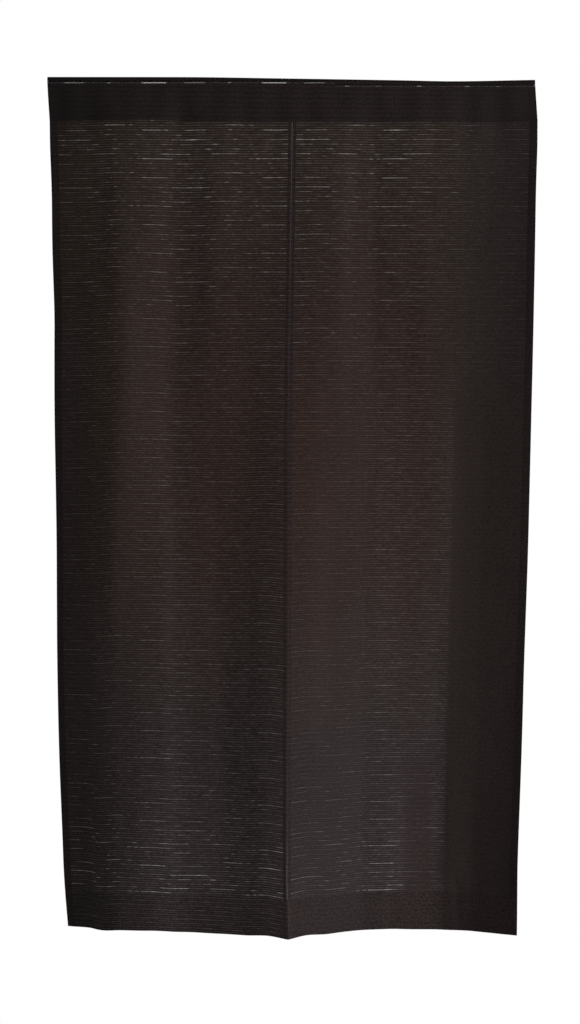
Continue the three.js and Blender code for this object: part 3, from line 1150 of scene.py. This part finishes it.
class NOREN_OT_set_stage(bpy.types.Operator):
    """Set the floor, the lights and the camera"""

    bl_idname = "noren.set_stage"
    bl_label = "Set stage"

    def execute(self, context):
        stage = noren().stage
        centre = (0.0, 0.0, -0.74)
        bpy.ops.object.select_all(action="DESELECT")
        bpy.ops.mesh.primitive_circle_add(
            vertices=96, radius=1.25, fill_type="NGON", location=(0, 0, stage.floor_height)
        )
        floor = context.object
        floor.name = "studio_floor"
        bpy.ops.object.transform_apply(location=True, rotation=True, scale=True)
        finish_piece(floor, paper_material("studio_paper"), 30)
        # Degrees round from the front and up from the cloth's middle, metres away, width and height
        lamps = (
            ("key_light", 55, -8, 5.0, 2.2, 1.1, stage.key_power),
            ("back_light", 145, 10, 3.4, 1.8, 1.8, stage.back_power),
        )
        for name, turn, rise, away, wide, tall, power in lamps:
            a, e = math.radians(turn), math.radians(rise)
            place = (
                centre[0] + away * math.sin(a) * math.cos(e),
                centre[1] - away * math.cos(a) * math.cos(e),
                centre[2] + away * math.sin(e),
            )
            bpy.ops.object.light_add(type="AREA", location=place)
            lamp = context.object
            lamp.name = name
            lamp.rotation_euler = (math.pi / 2 + e, 0, a)
            lamp.data.shape = "RECTANGLE"
            lamp.data.size = wide
            lamp.data.size_y = tall
            lamp.data.energy = power
            lamp.visible_camera = False
        bpy.ops.object.camera_add(location=CAMERA_PLACE, rotation=(math.pi / 2, 0, 0))
        camera = context.object
        camera.name = "photo_camera"
        camera.data.lens = CAMERA_LENS
        camera.data.sensor_width = 36.0
        camera.data.shift_y = -CAMERA_RISE / PHOTO_HEIGHT
        context.scene.camera = camera
        self.light_world(context, stage.fill)
        context.scene.view_settings.view_transform = "Standard"
        return {"FINISHED"}

    def light_world(self, context, fill):
        """White all round where the camera looks, and a soft fill for everything else."""
        world = bpy.data.worlds.new("studio_air")
        world.use_nodes = True
        world.node_tree.nodes.clear()
        context.scene.world = world
        start = Wire(world.node_tree)
        seen = start.node("ShaderNodeLightPath").other("Is Camera Ray")
        shade = start.node(
            "ShaderNodeBackground", {}, {"Color": (1, 1, 1, 1), "Strength": seen * (1 - fill) + fill}
        )
        start.node("ShaderNodeOutputWorld", {}, {"Surface": shade})


class NOREN_PT_sidebar(bpy.types.Panel):
    bl_idname = "NOREN_PT_sidebar"
    bl_label = "Noren curtain"
    bl_space_type = "VIEW_3D"
    bl_region_type = "UI"
    bl_category = "Noren"

    def draw(self, context):
        settings = context.scene.noren
        for title, group in (
            ("Sizes", settings.sizes),
            ("Finish", settings.finish),
            ("Stage", settings.stage),
        ):
            box = self.layout.box()
            box.label(text=title)
            for name in group.__annotations__:
                box.prop(group, name)
        for step in STEPS:
            self.layout.operator(step.bl_idname)


STEPS = (NOREN_OT_sew_sleeve, NOREN_OT_hang_panels, NOREN_OT_stitch_seams, NOREN_OT_set_stage)
CLASSES = (NorenSizes, NorenFinish, NorenStage, NorenSettings, *STEPS, NOREN_PT_sidebar)


def register():
    for entry in CLASSES:
        bpy.utils.register_class(entry)
    bpy.types.Scene.noren = PointerProperty(type=NorenSettings)


def unregister():
    del bpy.types.Scene.noren
    for entry in reversed(CLASSES):
        bpy.utils.unregister_class(entry)


def main():
    register()
    bpy.ops.noren.sew_sleeve()
    bpy.ops.noren.hang_panels()
    bpy.ops.noren.stitch_seams()
    bpy.ops.noren.set_stage()


if __name__ == "__main__":
    main()
